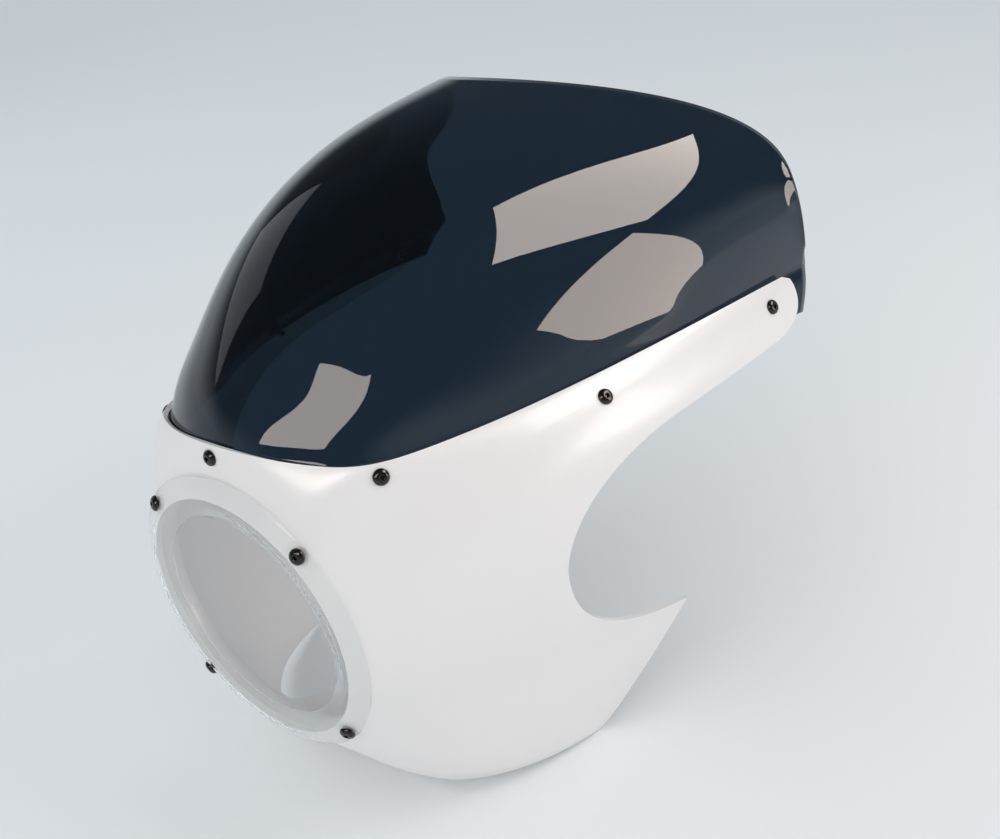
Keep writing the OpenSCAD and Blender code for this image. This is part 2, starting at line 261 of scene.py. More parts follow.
# Mesh helpers
def grid_mesh(points: Array, sharp_rows: Iterable[int] = ()) -> bmesh.types.BMesh:
    """Lay a grid over a table of points.

    Args:
        points: table of shape (columns, rows, 3), in millimetres.
        sharp_rows: rows along which the surface has a crease.

    Returns:
        A bmesh in metres whose doubled seams are merged.
    """
    columns, rows = points.shape[0] - 1, points.shape[1] - 1
    bm = bmesh.new()
    bmesh.ops.create_grid(bm, x_segments=columns, y_segments=rows, size=1.0)
    creases = set(sharp_rows)
    row_of = {}
    for vert in bm.verts:
        i = round((vert.co.x + 1) / 2 * columns)
        j = round((vert.co.y + 1) / 2 * rows)
        row_of[vert] = j
        vert.co = Vector(points[i, j]) * MM
    for edge in bm.edges:
        first, second = (row_of[v] for v in edge.verts)
        edge.smooth = not (first == second and first in creases)
    bmesh.ops.remove_doubles(bm, verts=bm.verts, dist=MERGE_GRID)
    return bm


def spun_mesh(profile: Sequence[tuple[float, float]], steps: int) -> bmesh.types.BMesh:
    """Spin a profile of (radius, height) points in millimetres round the Z axis.

    Args:
        profile: points of the profile, an open line or, with equal ends, a closed one.
        steps: segments of the full turn.

    Returns:
        A bmesh in metres with outward faces.
    """
    bm = bmesh.new()
    closed = profile[0] == profile[-1]
    line = profile[:-1] if closed else profile
    verts = [bm.verts.new((r * MM, 0.0, z * MM)) for r, z in line]
    ends = list(zip(verts, verts[1:])) + ([(verts[-1], verts[0])] if closed else [])
    edges = [bm.edges.new(pair) for pair in ends]
    bmesh.ops.spin(
        bm, geom=verts + edges, axis=(0, 0, 1), cent=(0, 0, 0), angle=math.tau, steps=steps, use_merge=True,
        use_duplicate=False,
    )
    bmesh.ops.remove_doubles(bm, verts=bm.verts, dist=MERGE_SPUN)
    bmesh.ops.recalc_face_normals(bm, faces=bm.faces)
    return bm


def crease(bm: bmesh.types.BMesh, degrees: float) -> None:
    """Mark edges that turn by more than an angle as sharp.

    Args:
        bm: mesh to mark.
        degrees: least angle of a sharp edge.
    """
    for edge in bm.edges:
        if len(edge.link_faces) == 2:
            edge.smooth = edge.calc_face_angle() < math.radians(degrees)


def linked(name: str, bm: bmesh.types.BMesh, material: bpy.types.Material) -> bpy.types.Object:
    """Turn a bmesh into an object of the scene and free it.

    Args:
        name: name of the object and its mesh.
        bm: mesh in metres.
        material: its material.

    Returns:
        The new object.
    """
    mesh = bpy.data.meshes.new(name)
    bm.to_mesh(mesh)
    bm.free()
    mesh.materials.append(material)
    made = bpy.data.objects.new(name, mesh)
    bpy.context.scene.collection.objects.link(made)
    return made


def piece(name: str, bm: bmesh.types.BMesh, material: bpy.types.Material) -> bpy.types.Object:
    """Turn a bmesh into a piece of the object that rides on its body.

    Args:
        name: name of the piece.
        bm: mesh in metres, in the row frame.
        material: its material.

    Returns:
        The new object.
    """
    for face in bm.faces:
        face.smooth = True
    made = linked(name, bm, material)
    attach(made, BODY)
    LOG.info("%s: %d faces", name, len(made.data.polygons))
    return made


def joined(parts: Sequence[bmesh.types.BMesh]) -> bmesh.types.BMesh:
    """Join several bmeshes into one and free them.

    Args:
        parts: the meshes to join.

    Returns:
        One mesh with all of them.
    """
    whole = bmesh.new()
    for part in parts:
        scratch = bpy.data.meshes.new("scratch")
        part.to_mesh(scratch)
        part.free()
        whole.from_mesh(scratch)
        bpy.data.meshes.remove(scratch)
    return whole


# The form of the nose: loft angle in degrees, swell and fade depth of each station, in millimetres.
STATIONS = np.array(
    [
        (-90, 20, 50), (-82, 26, 50), (-75, 43, 51), (-67.5, 79, 53), (-60, 112, 54), (-50, 115, 61),
        (-36, 104, 80), (-20, 92, 97), (0, 87, 97), (15, 88.5, 96), (22, 93, 97), (28, 97, 103),
        (33, 97, 104), (36, 90, 94), (39.5, 75.5, 65), (43, 61.5, 43), (47, 53.5, 27), (52, 47.5, 18),
        (59.5, 41, 13.5), (69, 34, 8), (82, 29, 3.3), (90, 27, 2),
    ]
)
# Share of the upper edge that runs across the nose, ahead of the arms.
FRONT_SHARE = 0.4


def bezier(points: Sequence[Sequence[float]], t: Array) -> Array:
    """Points of a cubic curve.

    Args:
        points: its four control points.
        t: shares along the curve.

    Returns:
        Table of points, one row for each share.
    """
    a, b, c, d = (np.asarray(p, float) for p in points)
    t = np.asarray(t, float)[..., None]
    return (1 - t) ** 3 * a + 3 * (1 - t) ** 2 * t * b + 3 * (1 - t) * t**2 * c + t**3 * d


def unit(v: Array) -> Array:
    """Vectors scaled to length one."""
    return v / np.maximum(np.linalg.norm(v, axis=-1, keepdims=True), 1e-12)


@dataclass
class NoseForm:
    """Lofted outer form of the nose around the lamp axis, in millimetres."""

    seat_radius: float = 90.0
    bore_radius: float = 77.5
    seat_depth: float = 6.2
    arm_depth: float = 345.0
    droop: float = 5.0
    edge_height: float = 96.0
    brow_rise: float = 15.0
    heel_depth: float = 134.0
    heel_height: float = -142.0
    brow_fade: float = 25.0
    rear_start: float = 130.0
    rear_drop: float = 9.4
    turn_angle: float = 50.0
    smoothing: float = 2.6
    slopes: Array = field(init=False)

    def __post_init__(self) -> None:
        """Work out the limited slopes of the station columns."""
        angle = STATIONS[:, 0]
        self.slopes = np.zeros_like(STATIONS)
        for c in (1, 2):
            d = np.diff(STATIONS[:, c]) / np.diff(angle)
            both = d[:-1] * d[1:]
            total = np.where(np.abs(d[:-1] + d[1:]) < 1e-9, 1.0, d[:-1] + d[1:])
            self.slopes[1:-1, c] = np.where(both > 0, 2 * both / total, 0.0)

    @property
    def seat_slope(self) -> Array:
        """Run of the conical seat along its radius and its depth, with length one."""
        return unit(np.array([self.seat_radius - self.bore_radius, self.seat_depth]))

    def raw_value(self, angle: Array, column: int) -> Array:
        """Value of a station column at an angle.

        Args:
            angle: loft angles in degrees.
            column: 1 for the swell, 2 for the fade depth.

        Returns:
            The interpolated values.
        """
        x = np.asarray(angle, float)
        x = np.where(x > 90, 180 - x, np.where(x < -90, -180 - x, x))
        k = np.clip(np.searchsorted(STATIONS[:, 0], x, side="left") - 1, 0, len(STATIONS) - 2)
        left, right = STATIONS[k], STATIONS[k + 1]
        h = right[..., 0] - left[..., 0]
        t = (x - left[..., 0]) / h
        return (
            (2 * t**3 - 3 * t**2 + 1) * left[..., column]
            + (t**3 - 2 * t**2 + t) * h * self.slopes[k, column]
            + (3 * t**2 - 2 * t**3) * right[..., column]
            + (t**3 - t**2) * h * self.slopes[k + 1, column]
        )

    def value(self, angle: Array, column: int) -> Array:
        """Station column averaged over a few degrees.

        Args:
            angle: loft angles in degrees.
            column: 1 for the swell, 2 for the fade depth.

        Returns:
            The averaged values.
        """
        s = self.smoothing
        total = 2 * self.raw_value(angle, column)
        return (total + self.raw_value(angle - s, column) + self.raw_value(angle + s, column)) / 4

    def skin(self, angle: Array, depth: Array) -> Array:
        """Outer face on loft lines at given depths.

        Args:
            angle: loft angles in degrees.
            depth: depths behind the seat plane.

        Returns:
            Table of points.
        """
        angle, depth = np.broadcast_arrays(np.asarray(angle, float), np.asarray(depth, float))
        side = np.where(np.abs(angle) > 90, -1.0, 1.0)
        b = np.where(angle > 90, 180 - angle, np.where(angle < -90, -180 - angle, angle))
        r = self.seat_radius + self.value(b, 1) * (1 - np.exp(-depth / self.value(b, 2)))
        cos_b = np.sqrt(np.abs(np.cos(np.radians(b))))
        t = np.radians(b - self.droop * (depth / self.arm_depth) ** 2 * cos_b)
        return np.stack([side * r * np.cos(t), depth, r * np.sin(t)], axis=-1)

    def normal(self, angle: Array, depth: Array) -> Array:
        """Outward direction of the outer face.

        Args:
            angle: loft angles in degrees.
            depth: depths behind the seat plane.

        Returns:
            Table of unit vectors.
        """
        e = 0.3
        angle, depth = np.broadcast_arrays(np.asarray(angle, float), np.asarray(depth, float))
        across = self.skin(angle + e, depth) - self.skin(angle - e, depth)
        along = self.skin(angle, np.maximum(0, depth - e)) - self.skin(angle, depth + e)
        return unit(np.cross(across, along))

    def edge_z(self, depth: Array) -> Array:
        """Height of the upper edge.

        Args:
            depth: depths behind the seat plane.

        Returns:
            The heights.
        """
        depth = np.asarray(depth, float)
        rear = np.maximum(0, (depth - self.rear_start) / (self.arm_depth - self.rear_start))
        return self.edge_height + self.brow_rise * np.exp(-(depth - 3) / self.brow_fade) - self.rear_drop * rear**2

    def sole_z(self, depth: Array) -> Array:
        """Height of the lower edge of the flanks at a depth."""
        return self.heel_height + (self.heel_depth - np.asarray(depth, float)) * 9 / 87

    @staticmethod
    def bisect(test: Callable[[Array], Array], low: Array, high: Array) -> Array:
        """Halve an interval until the test changes from true to false.

        Args:
            test: true where the answer lies above the tried value.
            low: lower ends.
            high: upper ends.

        Returns:
            The values at which the test changes.
        """
        low, high = np.array(low, float), np.array(high, float)
        for _ in range(40):
            middle = (low + high) / 2
            above = test(middle)
            low, high = np.where(above, middle, low), np.where(above, high, middle)
        return low

    def edge_depth(self, angle: Array, high: float) -> Array:
        """Depth at which loft lines meet the upper edge.

        Args:
            angle: loft angles in degrees.
            high: greatest depth that is tried.

        Returns:
            The depths.
        """
        angle = np.asarray(angle, float)
        return self.bisect(
            lambda y: self.skin(angle, y)[..., 2] < self.edge_z(y), np.zeros_like(angle), np.full_like(angle, high)
        )

    def sole_depth(self, angle: Array) -> Array:
        """Depth at which loft lines meet the lower edge of the flanks.

        Args:
            angle: loft angles in degrees.

        Returns:
            The depths.
        """
        angle = np.asarray(angle, float)
        return self.bisect(
            lambda y: self.skin(angle, y)[..., 2] > self.sole_z(y), np.full_like(angle, 20.0),
            np.full_like(angle, self.heel_depth),
        )

    def line_at(self, depth: Array, height: Array) -> Array:
        """Loft angle through points of the side view.

        Args:
            depth: their depths.
            height: their heights.

        Returns:
            The angles in degrees.
        """
        depth = np.asarray(depth, float)
        return self.bisect(
            lambda a: self.skin(a, depth)[..., 2] < height, np.full_like(depth, -57.0), np.full_like(depth, 90.0)
        )

    def edge_stations(self, count: int, last_depth: float) -> Array:
        """Loft angle and depth at even shares of the upper edge.

        Args:
            count: number of steps from the middle of the nose to the rear.
            last_depth: depth of the last station.

        Returns:
            Table of angle and depth, one row for each station.
        """
        v = np.linspace(0, 1, count + 1)
        turn_depth = float(self.edge_depth(np.array([self.turn_angle]), 200.0)[0])
        front = 90 - (90 - self.turn_angle) * v / FRONT_SHARE
        front_depth = self.edge_depth(np.clip(front, self.turn_angle, 90), 200.0)
        share = np.clip((v - FRONT_SHARE) / (1 - FRONT_SHARE), 0, 1) ** 1.15
        rear_depth = turn_depth + (last_depth - turn_depth) * share
        rear = self.line_at(rear_depth, self.edge_z(rear_depth))
        ahead = v < FRONT_SHARE
        return np.stack([np.where(ahead, front, rear), np.where(ahead, front_depth, rear_depth)], axis=-1)


@dataclass
class NoseShell:
    """The moulded shell: seat, return lip, flanks, arms and the cut-outs for the handlebars."""

    form: NoseForm
    wall: float = 3.0
    lip_front: float = -2.5
    lip_rear: float = 9.5
    lip_wall: float = 1.6
    cutout_depth: float = 106.0
    arm_low: float = 57.0
    tail: tuple[float, float] = (204.0, -75.0)
    chin_depth: float = 47.0
    chin_angle: float = -59.5
    rows: int = 60

    def outline(self) -> Array:
        """Outline of one half, from the top of the nose round the arm and the cut-out to the chin.

        Returns:
            Table of loft angle and depth, one row for each loft line.
        """
        form = self.form
        end, low, cut = form.arm_depth, self.arm_low, self.cutout_depth
        heel = (form.heel_depth, form.heel_height)
        arm_end = bezier(
            [(end, 84), (end + 0.5, 66), (end - 12, low - 1), (end - 38, low - 0.5)], np.linspace(0, 1, 24)
        )
        under = np.stack([np.linspace(end - 46, 213, 14), np.full(14, low + 0.2)], axis=-1)
        knots = [205, end - 108, end - 75, end - 38]
        under[:, 1] = np.interp(under[:, 0], knots, [low + 0.5, low + 0.6, low, low - 0.5])
        upper = bezier([(205, low + 0.5), (143, low - 1), (cut, 28), (cut, 2)], np.linspace(0, 1, 48))
        lower = bezier([(cut, 2), (cut, -32), (132, -55), self.tail], np.linspace(0, 1, 44)[1:])
        t = np.linspace(0, 1, 26)[1:]
        back = np.stack(
            [
                self.tail[0] + (heel[0] - self.tail[0]) * t - 5 * np.sin(np.pi * t),
                self.tail[1] + (heel[1] - self.tail[1]) * t,
            ],
            axis=-1,
        )
        side = np.concatenate([arm_end, under, upper, lower, back])
        first = float(form.line_at(np.array([heel[0]]), np.array([heel[1]]))[0])
        sole_angle = np.linspace(first, self.chin_angle, 30)[1:]
        sole = np.stack([sole_angle, np.maximum(self.chin_depth, form.sole_depth(sole_angle))], axis=-1)
        chin_angle = np.linspace(self.chin_angle, -90, 36)[1:]
        chin = np.stack([chin_angle, np.full(len(chin_angle), self.chin_depth)], axis=-1)
        return np.concatenate(
            [
                form.edge_stations(110, form.arm_depth)[:-1],
                np.stack([form.line_at(side[:, 0], side[:, 1]), side[:, 0]], axis=-1),
                sole,
                chin,
            ]
        )

    def seat_point(self, angle: Array, radius: float, inset: float) -> Array:
        """Points of the conical seat.

        Args:
            angle: loft angles in degrees.
            radius: distance from the lamp axis.
            inset: depth below the seat's face.

        Returns:
            Table of points.
        """
        form = self.form
        slope = form.seat_slope
        out = np.array([slope[1], -slope[0]])
        y = -form.seat_depth + form.seat_depth * (radius - form.bore_radius) / (form.seat_radius - form.bore_radius)
        a = np.radians(angle)
        r = radius - inset * out[0]
        return np.stack([r * np.cos(a), np.full_like(a, y - inset * out[1]), r * np.sin(a)], axis=-1)

    @staticmethod
    def lip_point(angle: Array, radius: float, depth: float) -> Array:
        """Points of the round lip.

        Args:
            angle: loft angles in degrees.
            radius: distance from the lamp axis.
            depth: depth behind the seat plane.

        Returns:
            Table of points.
        """
        a = np.radians(angle)
        return np.stack([radius * np.cos(a), np.full_like(a, depth), radius * np.sin(a)], axis=-1)

    def row_depths(self, end: Array) -> Array:
        """Depths of the rows along loft lines: close at the nose, spread at the rear.

        Args:
            end: depths at which the lines end.

        Returns:
            Table of depths, one row for each line.
        """
        share = np.linspace(0, 1, self.rows + 1)[None, :]
        start = 2.2 * self.rows
        k = self.form.bisect(
            lambda m: end * m > start * (np.exp(m) - 1), np.full_like(end, 1e-3), np.full_like(end, 6.0)
        )[:, None]
        long = (np.exp(k * share) - 1) / (np.exp(k) - 1)
        short = share**1.15
        blend = np.clip((end[:, None] / start - 1) * 2, 0, 1)
        return end[:, None] * (blend * long + (1 - blend) * short)

    def build(self, material: bpy.types.Material) -> bpy.types.Object:
        """Lay the cross-section of the wall round the opening and make the shell.

        Args:
            material: finish of the shell.

        Returns:
            The shell's object.
        """
        form = self.form
        half = self.outline()
        angle, end = half[:, 0], half[:, 1]
        depths = self.row_depths(end)
        wide = angle[:, None] + np.zeros_like(depths)
        outer = form.skin(wide, depths)
        out = form.normal(wide, depths)
        a = np.radians(angle)
        slope = form.seat_slope
        seat_out = np.stack([slope[1] * np.cos(a), np.full_like(a, -slope[0]), slope[1] * np.sin(a)], axis=-1)
        out[:, 0] = unit(out[:, 0] + seat_out)
        inner = outer - self.wall * out
        bore, lip = form.bore_radius, form.bore_radius + self.lip_wall
        front = [
            self.lip_point(angle, lip, self.lip_rear),
            self.lip_point(angle, lip - 0.4, self.lip_rear + 0.3),
            self.lip_point(angle, bore + 0.3, self.lip_rear + 0.3),
            self.lip_point(angle, bore, self.lip_rear),
            self.lip_point(angle, bore, 2.0),
            self.lip_point(angle, bore, self.lip_front),
            self.seat_point(angle, bore + 1.0, 0.0),
            self.seat_point(angle, bore + 4.0, 0.0),
            self.seat_point(angle, bore + 8.0, 0.0),
            self.seat_point(angle, form.seat_radius - 0.5, 0.0),
        ]
        behind = [
            self.seat_point(angle, bore + 8.0, self.wall),
            self.seat_point(angle, bore + 4.5, self.wall),
            self.lip_point(angle, lip + 0.6, -0.4),
            self.lip_point(angle, lip, 1.2),
            self.lip_point(angle, lip, self.lip_rear),
        ]
        table = np.concatenate(
            [np.stack(front, axis=1), outer, inner[:, ::-1], np.stack(behind, axis=1)], axis=1
        )
        mirrored = table[-2:0:-1] * np.array([-1.0, 1.0, 1.0])
        ring = np.concatenate([table, mirrored, table[:1]])
        rim = len(front) + self.rows
        bm = grid_mesh(ring, sharp_rows=(4, 5, 6, rim, rim + 1))
        bmesh.ops.recalc_face_normals(bm, faces=bm.faces)
        made = piece("nose_shell", bm, material)
        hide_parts("cowl_shell")
        return made


@dataclass
class BubbleScreen:
    """The smoked bubble screen, tucked under the upper edge of the shell."""

    form: NoseForm
    inset: float = 4.3
    wall: float = 2.5
    end_depth: float = 371.0
    crown: tuple[float, float] = (257.0, 235.0)
    shoulder: tuple[float, float] = (368.0, 150.0)
    shoulder_share: float = 0.75
    corner_lead: float = 21.0
    rear_start: float = 250.0
    skirt_turn: float = 7.5
    rear_turn: float = 1.1
    pulls: tuple[float, float] = (0.28, 0.42)
    calm_span: float = 90.0
    ribs: int = 26
    skirt_rows: int = 4
    rows: int = 12
    fineness: int = 5
    fullness: float = 0.001
    passes: int = 4
    spacing: tuple[tuple[float, ...], tuple[float, ...]] = (
        (0, 0.2, 0.4, 0.6, 0.8, 0.9, 1),
        (0, 0.15, 0.34, 0.52, 0.72, 0.85, 1),
    )

    def trail(self, u: Array) -> Array:
        """Points of the trailing edge.

        Args:
            u: shares from the crown to the lower corner.

        Returns:
            Table of points.
        """
        (cy, cz), (sy, sz), edge = self.crown, self.shoulder, self.form.edge_height
        turn = self.shoulder_share
        crown = bezier([(0, cy, cz), (56, cy, cz), (116, sy + 30, sz + 40), (154, sy, sz)], np.clip(u / turn, 0, 1))
        flank = bezier(
            [(154, sy, sz), (165.4, sy - 9, sz - 12), (162.5, self.end_depth - 2.5, edge + 16),
             (160.8, self.end_depth, edge)],
            np.clip((u - turn) / (1 - turn), 0, 1),
        )
        return np.where((u < turn)[:, None], crown, flank)

    def under(self, angle: Array, depth: Array) -> Array:
        """Points below the shell's wall and the play between the two."""
        return self.form.skin(angle, depth) - self.inset * self.form.normal(angle, depth)

    def rib_table(self) -> Array:
        """Points of one half of the screen, rib by rib from the middle outwards.

        Returns:
            Table of shape (ribs + 1, skirt rows + rows + 1, 3).
        """
        form = self.form
        stations = form.edge_stations(self.ribs, self.end_depth)
        angle, depth = stations[:, 0], stations[:, 1]
        q = np.clip((90 - angle) / (90 - angle[-1]), 0, 1)
        s = np.clip(q / 0.8, 0, 1)
        rear = (np.maximum(0, depth - self.rear_start) / (self.end_depth - self.rear_start)) ** 2
        low_angle = angle - self.skirt_turn * s * s * (3 - 2 * s) - self.rear_turn * rear
        low_depth = depth * (1 - 0.85 * (1 - q) ** 1.6) - self.corner_lead * rear
        skirt = [
            self.under(low_angle + (angle - low_angle) * share, low_depth + (depth - low_depth) * share)
            for share in np.linspace(0, 1, self.skirt_rows + 1)
        ]
        along = np.interp(np.linspace(0, 1, self.ribs + 1), *self.spacing)
        for _ in range(2):
            along[1:-1] = (along[:-2] + 2 * along[1:-1] + along[2:]) / 4
        top, end = skirt[-1], self.trail(along)
        span = np.linalg.norm(end - top, axis=-1, keepdims=True)
        rise = unit(np.stack([np.zeros_like(q), 0.28 + 0.25 * q, np.full_like(q, 0.96)], axis=-1))
        run = unit(np.array([0.0, 1.0, -0.1]))
        short = np.maximum(0, 2 - 2 * span / self.calm_span)
        run = unit(run + short * unit(end - top))
        curve = [top, top + self.pulls[0] * span * rise, end - self.pulls[1] * span * run, end]
        bubble = [bezier(curve, np.full(len(q), share)) for share in np.linspace(0, 1, self.rows + 1)[1:]]
        return np.stack(skirt + bubble, axis=1)

    def faired(self, table: Array) -> Array:
        """Take the waves out of the bubble, as a sheet that is blown free takes an even curve.

        Args:
            table: points of the whole screen, with its edges as they stay.

        Returns:
            The points with the inner ones moved to a fair surface.
        """
        columns, rows = table.shape[:2]
        index = np.arange(columns * rows).reshape(columns, rows)
        free = np.zeros((columns, rows), bool)
        free[1:-1, self.skirt_rows + 2 : -1] = True
        pull = np.zeros((columns * rows, columns * rows))
        for i, j in np.argwhere(free):
            around = [index[i - 1, j], index[i + 1, j], index[i, j - 1], index[i, j + 1]]
            pull[index[i, j], index[i, j]] = 1.0
            pull[index[i, j], around] = -0.25
        flat = table.reshape(-1, 3)
        keep = np.where(free.ravel(), self.fullness, 1e3)
        matrix = pull.T @ pull + np.diag(keep)
        fair = np.zeros_like(flat)
        for _ in range(self.passes):
            fair += np.linalg.solve(matrix, keep[:, None] * (flat - fair))
        return fair.reshape(table.shape)

    def smoothed(self, table: Array, axis: int) -> Array:
        """Run a cubic spline through a coarse table, with its ends kept.

        Args:
            table: coarse table of points.
            axis: the table's axis that gets finer.

        Returns:
            The finer table.
        """
        p = np.moveaxis(table, axis, 0)
        p = np.concatenate([2 * p[:1] - p[1:2], p, 2 * p[-1:] - p[-2:-1]])
        t = (np.arange(self.fineness) / self.fineness)[None, :, None, None]
        a, b, c, d = (p[i : len(p) - 3 + i, None] for i in range(4))
        fine = (
            (1 - t) ** 3 * a + (3 * t**3 - 6 * t**2 + 4) * b + (-3 * t**3 + 3 * t**2 + 3 * t + 1) * c + t**3 * d
        ) / 6
        fine = np.concatenate([fine.reshape(-1, *p.shape[1:]), p[-2:-1]])
        return np.moveaxis(fine, 0, axis)

    def build(self, material: bpy.types.Material) -> bpy.types.Object:
        """Make the sheet of the screen and give it its thickness.

        Args:
            material: finish of the screen.

        Returns:
            The screen's object.
        """
        half = self.rib_table()
        whole = self.faired(np.concatenate([half[:0:-1] * np.array([-1.0, 1.0, 1.0]), half]))
        bm = grid_mesh(self.smoothed(self.smoothed(whole, 0), 1))
        bmesh.ops.recalc_face_normals(bm, faces=bm.faces)
        crown = max(bm.faces, key=lambda f: f.calc_center_median().z)
        if crown.normal.z < 0:
            bmesh.ops.reverse_faces(bm, faces=bm.faces)
        made = piece("bubble_screen", bm, material)
        sheet = made.modifiers.new("sheet", "SOLIDIFY")
        sheet.thickness = self.wall * MM
        sheet.offset = -1.0
        sheet.use_even_offset = True
        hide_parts("windscreen")
        return made


@dataclass
class LampRing:
    """Clear ring in front of the lamp opening: a conical flange with a shallow dished lip."""

    form: NoseForm
    wall: float = 2.0
    inner: float = 66.5
    play: float = 0.25

    def build(self, material: bpy.types.Material) -> bpy.types.Object:
        """Spin the profile of the ring.

        Args:
            material: finish of the ring.

        Returns:
            The ring's object.
        """
        form = self.form
        slope = form.seat_slope
        out_r, out_h = slope[1], slope[0]
        g, t = self.play, self.play + self.wall
        seat, bore, deep = form.seat_radius, form.bore_radius, form.seat_depth
        profile = [
            (seat + g * out_r, g * out_h),
            (seat + t * out_r - 0.15, t * out_h - 0.5),
            (seat + t * out_r - 0.6, t * out_h - 0.1),
            (seat + t * out_r - 1.1, t * out_h + 0.25),
            (bore + 5 + t * out_r, deep - 5 * deep / (seat - bore) + t * out_h),
            (bore + 1.5 + t * out_r, deep - 0.85 + t * out_h),
            (bore + 0.1, deep + t * out_h - 0.25),
            (bore - 2.5, deep - 0.2 + self.wall),
            (bore - 6.5, deep - 1.7 + self.wall),
            (self.inner + 0.7, 3.1 + self.wall),
            (self.inner + 0.2, 2.8 + self.wall),
            (self.inner, 2.3 + self.wall),
            (self.inner, 3.5),
            (self.inner + 0.3, 3.1),
            (bore - 6.5, deep - 1.7),
            (bore - 2.5, deep - 0.25),
            (bore + g * out_r, deep + g * out_h - 0.1),
            (bore + 3 + g * out_r, deep - 3 * deep / (seat - bore) + g * out_h),
            (seat + g * out_r, g * out_h),
        ]
        bm = spun_mesh(profile, 320)
        bmesh.ops.rotate(bm, verts=bm.verts, cent=(0, 0, 0), matrix=Matrix.Rotation(math.pi / 2, 3, "X"))
        crease(bm, 40)
        made = piece("clear_lamp_ring", bm, material)
        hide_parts("lamp_ring")
        return made


@dataclass
class Fixings:
    """Button-head screws and nuts of the screen and of the lamp ring."""

    form: NoseForm
    head_radius: float = 4.7
    head_height: float = 2.75
    shank_radius: float = 2.0
    key: float = 2.5
    key_depth: float = 1.6
    nut: float = 7.0
    nut_height: float = 3.2
    flange_radius: float = 4.5
    flange_height: float = 1.0
    ring_radius: float = 85.3
    screen_screw: float = 14.0
    ring_screw: float = 12.0
    screen_head_lift: float = 0.05
    ring_head_lift: float = 2.3
    screen_nut_lift: float = -7.6
    ring_nut_lift: float = -3.5
    pitch: float = 0.7
    segments: int = 36
    screen_places: tuple[tuple[float, float], ...] = ((90, 1.45), (45.8, 39), (32, 166), (29, 316))

    @staticmethod
    def hexagon(bm: bmesh.types.BMesh, low: float, high: float, width: float) -> None:
        """Push some rings of a spun mesh out to a hexagon.

        Args:
            bm: spun mesh in metres.
            low: radius in millimetres below the rings.
            high: radius in millimetres of the outermost ring.
            width: width across flats in millimetres.
        """
        for vert in bm.verts:
            r = math.hypot(vert.co.x, vert.co.y)
            if low * MM < r <= high * MM:
                turn = math.atan2(vert.co.y, vert.co.x) % (math.pi / 3) - math.pi / 6
                scale = width / 2 * MM / math.cos(turn) / r
                vert.co.x *= scale
                vert.co.y *= scale

    def screw(self, length: float) -> bmesh.types.BMesh:
        """One screw: socket, domed head, shank with fine grooves for its thread.

        Args:
            length: length under the head in millimetres.

        Returns:
            The screw, standing on its seat at the origin.
        """
        key, top, rim = self.key / 2, self.head_height, self.head_radius
        dome = [
            (rim * math.cos(math.radians(a)), 0.35 + (top - 0.35) * math.sin(math.radians(a)) * 1.1547)
            for a in range(56, -1, -8)
        ]
        profile = [(0.0, top - self.key_depth), (key, top - self.key_depth), (key, top - 0.12)]
        profile += [(key * 1.22, top - 0.02), (key * 1.3, top)]
        profile += [p for p in dome if p[0] > key * 1.35]
        profile += [(rim, 0.12), (rim - 0.12, 0.0), (self.shank_radius, 0.0)]
        for k in range(int(length / self.pitch) - 1):
            z = -0.8 - self.pitch * k
            profile += [(self.shank_radius, z), (self.shank_radius - 0.28, z - self.pitch / 2)]
        profile += [(self.shank_radius - 0.3, -length), (0.0, -length)]
        bm = spun_mesh(profile, self.segments)
        self.hexagon(bm, 0.001, key * 1.02, self.key)
        crease(bm, 50)
        return bm

    def nut_mesh(self, flanged: bool) -> bmesh.types.BMesh:
        """One nut below its seat at the origin, with or without a flange.

        Args:
            flanged: whether it has a flange round its seat.

        Returns:
            The nut's mesh.
        """
        bore, flat = self.shank_radius + 0.05, self.nut / 2
        low = -self.nut_height - (self.flange_height if flanged else 0.0)
        profile = [(bore + 0.2, 0.0), (bore, -0.2), (bore, low + 0.2), (bore + 0.2, low), (flat * 0.9, low)]
        profile += [(flat, low + 0.35)]
        if flanged:
            rim = self.flange_radius
            profile += [(flat, -self.flange_height), (rim - 0.2, -self.flange_height + 0.25), (rim, -0.25)]
            profile += [(rim - 0.15, 0.0)]
        else:
            profile += [(flat, -0.3), (flat * 0.9, 0.0)]
        profile += [profile[0]]
        bm = spun_mesh(profile, self.segments)
        self.hexagon(bm, flat - 0.01, flat + 0.01, self.nut)
        crease(bm, 35)
        return bm

    def screen_frames(self) -> list[Matrix]:
        """Find the places of the screen fixings.

        Returns:
            Frames with their origin on the outer face and Z outwards.
        """
        frames = []
        for angle, depth in self.screen_places:
            for side in (1, -1) if angle < 90 else (1,):
                point = self.form.skin(np.array(angle), np.array(depth)) * (side, 1, 1)
                out = Vector(self.form.normal(np.array(angle), np.array(depth)) * (side, 1, 1))
                turn = out.to_track_quat("Z", "Y").to_matrix().to_4x4()
                frames.append(Matrix.Translation(Vector(point) * MM) @ turn)
        return frames

    def ring_frames(self) -> list[Matrix]:
        """Find the places of the ring fixings.

        Returns:
            Frames with their origin on the conical seat and Z outwards.
        """
        form = self.form
        slope = form.seat_slope
        share = (self.ring_radius - form.bore_radius) / (form.seat_radius - form.bore_radius)
        y = -form.seat_depth * (1 - share)
        frames = []
        for degrees in (45, 135, 225, 315):
            a = math.radians(degrees)
            point = Vector((self.ring_radius * math.cos(a), y, self.ring_radius * math.sin(a)))
            z = Vector((slope[1] * math.cos(a), -slope[0], slope[1] * math.sin(a)))
            x = Vector((math.cos(a), 0, math.sin(a)))
            x = (x - x.dot(z) * z).normalized()
            turn = Matrix((x, z.cross(x), z)).transposed().to_4x4()
            frames.append(Matrix.Translation(point * MM) @ turn)
        return frames

